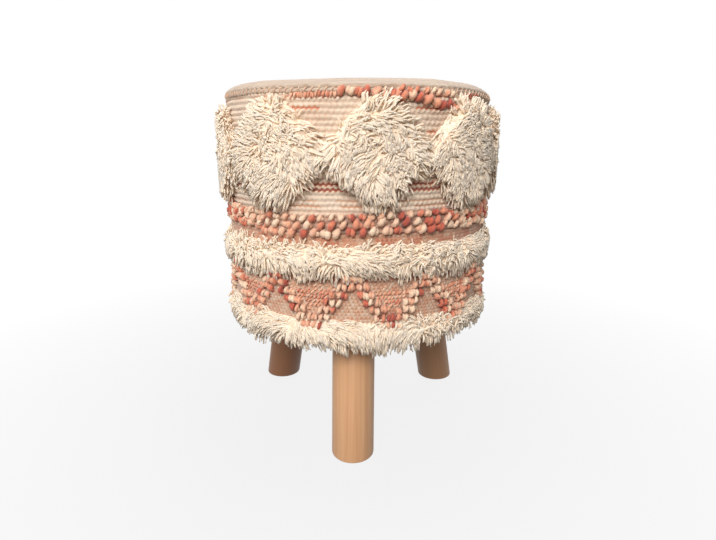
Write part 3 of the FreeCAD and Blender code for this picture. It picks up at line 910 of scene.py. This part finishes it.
def notch_offsets(turn):
    """Signed turn from the nearest notch between two diamonds, and which notch it is."""
    away = wrapped(turn[:, None] - np.array(PILE_NOTCHES)[None, :])
    nearest = np.abs(away).argmin(axis=1)
    return away[np.arange(len(turn)), nearest], nearest


def chain_edges(turn):
    """The lowest and highest roots of the chain of diamonds at each turn."""
    away = np.degrees(np.abs(notch_offsets(turn)[0]))
    share = np.clip((away - 0.8) / NOTCH_SPREAD, 0, 1)
    ragged = 2.5 * wander_round(turn, 0 * turn + 350, 9, 13)
    high = UPPER_NOTCH_LOW + (UPPER_PILE_TOP - UPPER_NOTCH_LOW) * share + ragged
    low = LOWER_NOTCH_HIGH - (LOWER_NOTCH_HIGH - UPPER_PILE_LOW) * share + ragged
    return low, high


def straight_edges(low, high, seed, lift=0.0):
    """Two slightly uneven edges round the drum. The lower one may lift at the right."""

    def edges(turn):
        low_waver = 2.0 * wander_round(turn, 0 * turn + low, 14, seed)
        high_waver = 2.0 * wander_round(turn, 0 * turn + high, 14, seed)
        return low + lift * swell(turn, 0.95, 0.4) + low_waver, high + high_waver

    return edges


def pile_roots(edges, spacing, seed):
    """Knots in rows round the drum between two edges, each a little out of its place."""
    low, high = edges(np.linspace(-math.pi, math.pi, 360))
    draw = np.random.default_rng(seed)
    columns = round(math.tau * DRUM_RADIUS / spacing)
    rows = round((high.max() - low.min()) / spacing)
    column, row = np.meshgrid(np.arange(columns), np.arange(rows))
    turn = (column + 0.5 * (row % 2) + draw.uniform(-0.45, 0.45, column.shape)) / columns
    share = (row + 0.5 + draw.uniform(-0.45, 0.45, row.shape)) / rows
    turn = wrapped(turn.ravel() * math.tau)
    height = low.min() + share.ravel() * (high.max() - low.min())
    low, high = edges(turn)
    inside = (height > low) & (height < high)
    return turn[inside], height[inside]


def fleece_depth(turn, height, edges, full):
    """Depth of the dense lower part of the pile, thinner towards both edges."""
    low, high = edges(turn)
    rim = np.minimum(height - low, high - height)
    return full * np.clip(rim / 13.0, 0, 1) ** 0.7


def fleece_band(name, edges, full, seed, node):
    """The dense lower part of the pile, a lumpy shell between two edges round the drum."""

    def shape(around, up):
        turn = (around * 2 - 1) * math.pi
        low, high = edges(turn)
        height = low + (high - low) * up
        lumps = wander_round(turn, height, 8, seed)
        lumps = lumps + 0.8 * wander_round(turn, height, 3.5, seed + 1)
        depth = fleece_depth(turn, height, edges, full)
        radius = side_radius(height) - 0.8 + depth * (0.9 + 0.25 * lumps)
        return drum_points(turn, radius, height), 0 * lumps, 0.5 + 0.5 * lumps, fleece_inside

    piece = woven_tube(name, 720, 30, shape)
    store(piece.data, "along", 0.5)
    dress(piece, ivory_wool)
    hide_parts(node)


def fleece_inside(height):
    return float(side_radius(height)) - 2.0, height


def tuft_paths(turn, height, length, depth, lean, droop, cling, seed):
    """Paths of yarns: out of the dense fleece, leaning with their lock, then falling over.

    lean is one (sideways, upward) pair for each yarn, and cling how far the tips keep together.
    """
    draw = np.random.default_rng(seed)
    stagger = wander_round(turn, height, 15, 16)
    level = np.floor(height / LOCK_SIZE + 0.6 * stagger)
    column = np.floor(turn * DRUM_RADIUS / LOCK_SIZE + 0.5 * (level % 2) + 0.6 * stagger)
    lock_turn = (column + 0.5 - 0.5 * (level % 2)) * LOCK_SIZE / DRUM_RADIUS
    lock_height = (level + 0.5) * LOCK_SIZE
    sway = np.stack([yarn_lot(level + shift, column) * 2 - 1 for shift in (0, 40, 80)], axis=1)
    swing = wander_round(lock_turn, lock_height, 38, 11)
    rise = wander_round(lock_turn, lock_height, 34, 12)
    own = draw.normal(0, 1, (len(turn), 3))
    sideways = lean[:, 0] + 1.5 * swing + 0.42 * sway[:, 0] + 0.15 * own[:, 0]
    upward = lean[:, 1] + 0.9 * rise + 0.34 * sway[:, 1] + 0.13 * own[:, 1]
    outward = 0.2 + 0.1 * sway[:, 2] + 0.05 * own[:, 2]
    norm = np.sqrt(sideways**2 + upward**2 + outward**2)
    reach = length * (1 + 0.12 * own[:, 0] + 0.14 * sway[:, 1])
    steps = np.linspace(0, 1, len(YARN_TAPER))[None, :]
    ease = steps - 0.28 * steps**2
    fall = droop * steps**2.2
    pull = cling * steps**1.5
    out = (outward / norm * reach)[:, None] * ease * (1 - 0.3 * steps)
    side = (sideways / norm * reach)[:, None] * ease
    up = (upward / norm * reach)[:, None] * ease - fall * reach[:, None]
    side = side + pull * (wrapped(lock_turn - turn) * DRUM_RADIUS)[:, None]
    up = up + pull * (lock_height - height)[:, None]
    curl = 0.8 * np.sin(own[:, 1:2] * 3 + steps * 5) * steps
    ground = side_radius(height)[:, None]
    radius = ground + 0.6 * depth[:, None] + out
    radius = np.maximum(radius, ground + 0.7 + depth[:, None] * (0.85 + 0.2 * steps))
    angle = turn[:, None] + (side + curl) / radius
    return drum_points(angle, radius, height[:, None] + up + curl * 0.6)


def pile_piece(name, paths, seed, node):
    draw = np.random.default_rng(seed)
    count = len(paths)
    width = draw.normal(0.98, 0.16, count).clip(0.5, 1.5)[:, None] * YARN_TAPER[None, :] * MM
    piece = yarn_piece(name, paths, width, tone=draw.uniform(0, 1, count))
    dress(piece, ivory_wool)
    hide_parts(node)


ivory_wool = Finish(
    "ivory_wool",
    Roughness=0.9,
    Sheen_Weight=0.6,
    Sheen_Roughness=0.6,
    Sheen_Tint=(1.0, 0.93, 0.82, 1.0),
    Subsurface_Weight=0.5,
    Subsurface_Radius=(1.0, 1.0, 1.0),
    Subsurface_Scale=0.002,
)
staple = ivory_wool.noise(420, 3, 0.6)
flock = ivory_wool.noise(38, 2, 0.5)
strand_colour = ivory_wool.ramp(
    ivory_wool.attribute("tone") * 0.5 + flock * 0.5,
    (0.15, 246, 218, 188),
    (0.5, 252, 227, 202),
    (0.85, 255, 236, 215),
)
# Painted shade: darker and warmer towards each yarn's root.
root_painted_shade = (1 - ivory_wool.attribute("along")) ** 2.0 * 0.25
root_shaded_colour = ivory_wool.blend(root_painted_shade, strand_colour, colour(244, 216, 182))
ivory_wool.give(Base_Color=ivory_wool.blend(staple * 0.1, root_shaded_colour, colour(228, 206, 178)))
ivory_wool.bump(staple, 0.0004, 0.4)


def diamond_lean(turn, height):
    """Inside a diamond the yarns fall away from its middle."""
    offset = notch_offsets(turn)[0]
    to_middle = (math.radians(20) - np.abs(offset)) / math.radians(20)
    middle = (UPPER_PILE_TOP + UPPER_PILE_LOW) / 2
    up = -0.2 + 0.75 * (height - middle) / (UPPER_PILE_TOP - middle)
    return np.stack([-np.sign(offset) * to_middle * 0.8, up], axis=1)


def band_lean(waves, start, middle, steep):
    """Along a band the yarns lean to and fro, up at its upper edge and down at its lower one."""
    return lambda turn, height: np.stack(
        [0.4 * np.sin(turn * waves + start), -0.3 + steep * (height - middle)], axis=1
    )


def long_pile(node, edges, lean, full, length, droop, cling, seed):
    """Fleece and yarns of one area of pile. Gives back each yarn's root turn and its path."""
    fleece_band(node + "_fleece", edges, full, seed, node)
    turn, height = pile_roots(edges, YARN_SPACING, seed + 2)
    depth = fleece_depth(turn, height, edges, full)
    return turn, tuft_paths(turn, height, length, depth, lean(turn, height), droop, cling, seed + 3)


turn, paths = long_pile(
    "pile_upper", chain_edges, diamond_lean, full=13.0, length=16.0, droop=0.15, cling=0.55, seed=17
)
offset, notch = notch_offsets(turn)
diamond = np.where(offset > 0, notch, (notch - 1) % len(PILE_NOTCHES))
for number in range(len(PILE_NOTCHES)):
    name = "pile_diamond_%d" % (number + 1)
    pile_piece(name, paths[diamond == number], 30 + number, "pile_upper")
edges = straight_edges(MIDDLE_PILE_LOW, 265, 14)
lean = band_lean(7.3, 0.6, 248, 0.04)
turn, paths = long_pile(
    "pile_middle", edges, lean, full=10.5, length=14.5, droop=0.24, cling=0.45, seed=40
)
pile_piece("pile_middle_band", paths, 46, "pile_middle")
edges = straight_edges(151, 180, 15, lift=6.0)
lean = band_lean(5.7, 2.6, 166, 0.035)
turn, paths = long_pile(
    "pile_lower", edges, lean, full=8.5, length=14.5, droop=0.28, cling=0.45, seed=50
)
pile_piece("pile_lower_band", paths, 56, "pile_lower")


# Wool loops
# Thick two-ply wool in coral, peach and cream, pulled up in loops over the weave and left uncut.
# Three rows make a band, a zigzag runs between the lower two pile bands, and one row edges the top.

LOOP_TAPER = np.array([0.8, 1.05, 1.12, 1.12, 1.05, 0.8])


def loop_paths(turn, height, tall, wide, out, slant, twist):
    """The two plies of each loop, twisted round a low arch from its top to its foot."""
    steps = np.linspace(0, 1, len(LOOP_TAPER))[None, :]
    arch = math.pi * steps
    ply = wide * 0.22
    rise = 0.5 * tall * np.cos(arch)
    reach = out * np.sin(arch)
    ground = side_radius(height) - 1.5
    paths = []
    for side in (0, math.pi):
        spin = twist + side + 1.9 * steps
        across = ply * np.cos(spin)
        depth = ply * np.sin(spin)
        level = height + rise + depth * np.cos(arch) * 0.6
        radius = ground + reach + depth * np.sin(arch)
        angle = turn + (across + slant * rise) / DRUM_RADIUS
        paths.append(drum_points(angle, radius + 0 * angle, level + 0 * angle))
    return np.concatenate(paths)


def add_loop(rows, turn, height, tall, wide, out, slant, dye):
    """Note a loop: its place, how tall and wide it is and stands out, its slant and its dye."""
    rows.append((turn, height, tall, wide, out, slant, dye))


def loops_piece(name, rows, seed, node):
    """One piece of all the loops noted in rows."""
    table = np.array(rows, float)
    draw = np.random.default_rng(seed)
    twist = draw.uniform(0, math.tau, len(table))[:, None]
    paths = loop_paths(*np.split(table[:, :6], 6, axis=1), twist)
    width = np.tile(table[:, 3:4] * 0.27 * MM, (2, 1)) * LOOP_TAPER[None, :]
    dye_each = np.concatenate([table[:, 6], table[:, 6] + draw.normal(0, 0.13, len(table))])
    piece = yarn_piece(name, paths, width, 1, dye=dye_each, tone=draw.uniform(0, 1, 2 * len(table)))
    dress(piece, dyed_wool)
    if node:
        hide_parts(node)


dyed_wool = Finish("dyed_wool", Roughness=0.86, Sheen_Weight=0.3, Sheen_Roughness=0.5)
loop_tone = dyed_wool.attribute("tone")
loop_ends = (dyed_wool.attribute("along") - 0.5).size() * 2
blotch = dyed_wool.noise(110, 2, 0.5)
lint = dyed_wool.noise(700, 3, 0.65)
loop_colour = dyed_wool.ramp(
    dyed_wool.attribute("dye") + (blotch - 0.5) * 0.5 + (loop_tone - 0.5) * 0.1,
    (0.05, 241, 212, 182),
    (0.3, 233, 182, 149),
    (0.55, 221, 143, 110),
    (0.78, 200, 93, 67),
    (1.0, 166, 62, 46),
)
# Painted shade: darker towards both feet of each loop, where it goes into the weave.
foot_shaded_colour = dyed_wool.blend(loop_ends**2.0 * 0.42, loop_colour, colour(138, 70, 52))
dyed_wool.give(Base_Color=dyed_wool.blend(lint * 0.2, foot_shaded_colour, colour(214, 158, 126)))
dyed_wool.bump(lint, 0.0009, 0.8)


draw = np.random.default_rng(61)
normal = draw.normal
uniform = draw.uniform


def random_dye(pale=0.3):
    """Yarn dyed in patches: mostly peach, some cream, some coral and now and then brick red."""
    pick = uniform()
    if pick < pale:
        return uniform(0.0, 0.2)
    if pick < 0.72:
        return uniform(0.25, 0.5)
    if pick < 0.92:
        return uniform(0.55, 0.8)
    return uniform(0.85, 1.0)


band = []
for height, count, tall, wide, pale, redder in (
    (282.6, 82, 4.4, 11.6, 0.62, 0.0),
    (290.8, 80, 4.6, 11.6, 0.34, 0.1),
    (298.8, 100, 3.4, 9.0, 0.5, -0.04),
):
    start = uniform(0, 1)
    for place in range(count):
        turn = wrapped((place + start) / count * math.tau)
        messy = abs(turn) > 0.62
        add_loop(
            band,
            turn + normal(0, 0.005 + 0.004 * messy),
            height + band_dip(turn) + normal(0, 0.7 + 0.9 * messy),
            (tall + 1.5 * messy) * uniform(0.85, 1.2),
            wide * uniform(0.85, 1.12) * (0.8 if messy else 1.0),
            uniform(3.4, 4.8),
            normal(0.1, 0.2) + 0.5 * (turn > 0.35) * (turn < 1.6),
            random_dye(pale) + redder,
        )
for turn in np.concatenate([np.arange(-1.75, -0.6, 0.045), np.arange(0.6, 3.4, 0.045)]):
    add_loop(
        band,
        turn + normal(0, 0.01),
        286.5 + band_dip(turn) + 8.0 * draw.integers(0, 2) + normal(0, 1.0),
        4.6,
        6.6 * uniform(0.85, 1.15),
        uniform(3.6, 5.0),
        normal(0.3, 0.3),
        random_dye(),
    )
loops_piece("loop_band_rows", band, 62, "loop_band")

zigzag = []
filling = []
for peak, following in ZIGZAG_ARMS:
    gap = (following - peak) % math.tau
    for start, way in ((peak, 1), (following, -1)):
        for row in range(7):
            height = ZIGZAG_TOP - ZIGZAG_ROW * row
            middle = start + way * gap * 0.5 * (row / ZIGZAG_REACH)
            for kernel in range(3):
                spot = middle + way * (kernel - 0.8) * 6.8 / DRUM_RADIUS
                if abs(wrapped(spot - start)) > gap * 0.515:
                    continue
                add_loop(
                    zigzag,
                    spot + normal(0, 0.003),
                    height + normal(0, 0.8),
                    6.2 * uniform(0.88, 1.12),
                    6.9 * uniform(0.88, 1.12),
                    uniform(5.2, 7.2),
                    normal(0, 0.1) - 0.1 * way,
                    random_dye(0.35),
                )
    valley = peak + gap / 2
    for row in range(7):
        slanted = row > 1
        step, *size = (3.6, 4.2, 3.0, 2.6) if slanted else (6.0, 2.0, 4.0, 0.9)
        half = (gap / 2) * (0.66 - 0.1 * row)
        count = max(1, int(2 * half * DRUM_RADIUS / step))
        for spot in np.linspace(valley - half, valley + half, count):
            turn = spot + normal(0, 0.003)
            height = 221.0 - 4.6 * row + normal(0, 0.4)
            slant = normal(0.75, 0.12)
            dye = uniform(0.35, 0.62) if slanted else uniform(0.22, 0.4)
            add_loop(filling, turn, height, *size, slant, dye)
loops_piece("loop_zigzag_rows", zigzag, 63, "loop_zigzag")
loops_piece("loop_zigzag_filling", filling, 64, None)


def even_turns(start, end, count):
    return np.linspace(math.radians(start), math.radians(end), count)


top_row = []
for centre in [math.radians(turn) for turn in (0, 122, -133)]:
    for turn in even_turns(-24, -8, 13):
        height = 419.5 + normal(0, 0.4)
        add_loop(top_row, centre + turn, height, 5.2, 4.0, 2.6, 0.1, uniform(0.3, 0.6))
    for turn in even_turns(-6, 37, 15):
        fall = 12.0 * max(0.0, (turn - 0.12) / 0.52) ** 1.2
        add_loop(
            top_row,
            centre + turn + normal(0, 0.006),
            422.0 - fall + normal(0, 1.0),
            5.4 * uniform(0.9, 1.15),
            9.2 * uniform(0.85, 1.2),
            uniform(3.8, 5.6),
            normal(0.4, 0.3),
            random_dye(0.15) + 0.12,
        )
    for turn in even_turns(15, 36, 8):
        add_loop(
            top_row,
            centre + turn + normal(0, 0.006),
            426.0 - 9.0 * (turn - 0.26) + normal(0, 0.8),
            4.4,
            7.0 * uniform(0.85, 1.15),
            uniform(3.0, 4.2),
            normal(0.5, 0.3),
            random_dye(),
        )
    for turn in even_turns(45, 53, 6):
        height = 423.5 + normal(0, 0.5)
        add_loop(top_row, centre + turn, height, 3.6, 4.2, 2.4, 0.3, uniform(0.6, 0.85))
loops_piece("loop_top_row", top_row, 65, "top_loop_row")


# Staples
# Wire staples hold the cover's lip up to the base board, driven in all round under the stool.

STAPLES = 44
STAPLE_CIRCLE = 156.0


def staple_paths():
    """Legs up into the board and a back along the lip, one path for each staple."""
    turn = turns_round(STAPLES)
    along = np.array([-5.0, -5.0, 5.0, 5.0])[None, :]
    height = np.array([149.6, 147.3, 147.3, 149.6])[None, :]
    spread = turn + along / STAPLE_CIRCLE
    return drum_points(spread, STAPLE_CIRCLE + 0 * spread, height + 0 * turn)


staples = yarn_piece("lip_staples", staple_paths(), 0.5 * MM)
dress(staples, steel)


# Floor, backdrop and lights
# Pale and plain, and white to the camera, with the stool's soft shadow on the floor.


def seen_straight(mix):
    """1 where the camera looks, by itself or off a shiny surface, and 0 for other light."""
    looking = mix.add("ShaderNodeLightPath", output="Is Camera Ray")
    return looking.at_least(mix.add("ShaderNodeLightPath", output="Is Glossy Ray"))


def rescaled(mix, value, start, end, low, high):
    """A value that runs from start to end, made to run from low to high."""
    sockets = {"Value": value, "From Min": start, "From Max": end, "To Min": low, "To Max": high}
    return mix.add("ShaderNodeMapRange", {}, sockets)


floor = new_piece(
    "floor", lambda work: bmesh.ops.create_circle(work, cap_ends=True, segments=64, radius=12.0)
)
floor_paint = Finish("pale_floor", Roughness=0.8)
floor_paint.give(Base_Color=colour(104, 101, 98))
length = {"operation": "LENGTH"}
away = floor_paint.add("ShaderNodeVectorMath", length, {0: floor_paint.place()}, output="Value")
whiter = rescaled(floor_paint, away, 0.2, 0.8, 0.86, 1.0)
white = floor_paint.add("ShaderNodeEmission", {}, {"Color": (1, 1, 1, 1), "Strength": 1.0})
painted = Wire(floor_paint, floor_paint.shader.outputs[0])
shown = floor_paint.add(
    "ShaderNodeMixShader", {}, {0: seen_straight(floor_paint) * whiter, 1: painted, 2: white}
)
floor_paint.feed(floor_paint.tree.nodes["Material Output"].inputs["Surface"], shown)
floor.data.materials.append(floor_paint.material)

scene = bpy.context.scene
scene.view_settings.view_transform = "Standard"
world = bpy.data.worlds.new("studio")
scene.world = world
world.use_nodes = True
sky = Mix(world.node_tree)
upward = sky.axis(sky.add("ShaderNodeTexCoord", output="Generated"), 2)
lit = rescaled(sky, upward, -0.1, 0.9, 0.1, 0.47)
level = sky.add("ShaderNodeMix", {}, {"Factor": seen_straight(sky), "A": lit, "B": 1.0})
background = sky.tree.nodes["Background"]
sky.feed(background.inputs["Color"], (1, 1, 1, 1))
sky.feed(background.inputs["Strength"], level)

LAMP_TARGET = Vector((0, 0, 0.3))


def soft_lamp(name, place, width, power):
    light = bpy.data.lights.new(name, "AREA")
    light.shape = "DISK"
    light.size = width
    light.energy = power
    lamp = in_scene(name, light)
    lamp.location = place
    lamp.rotation_euler = (LAMP_TARGET - Vector(place)).to_track_quat("-Z", "Y").to_euler()


soft_lamp("key", (-0.95, -1.6, 1.9), 2.2, 34)
soft_lamp("fill", (-0.2, -1.7, 1.35), 1.0, 25)
soft_lamp("back", (0.3, 1.9, 1.7), 1.6, 26)


# Camera
# Close and a little above, as the photograph was taken: the crown is seen almost edge on.

FOCAL_PIXELS = 485.27
IMAGE_WIDTH = 716
SENSOR_WIDTH = 36.0
CAMERA_TILT = 90 - 14.58

lens = bpy.data.cameras.new("camera")
lens.sensor_width = SENSOR_WIDTH
lens.lens = FOCAL_PIXELS / IMAGE_WIDTH * SENSOR_WIDTH
lens.shift_x = 0.0046
lens.clip_start = 0.01
camera = in_scene("camera", lens)
camera.location = (-0.0035, -0.6774, 0.3716)
camera.rotation_euler = (math.radians(CAMERA_TILT), 0, 0)
scene.camera = camera
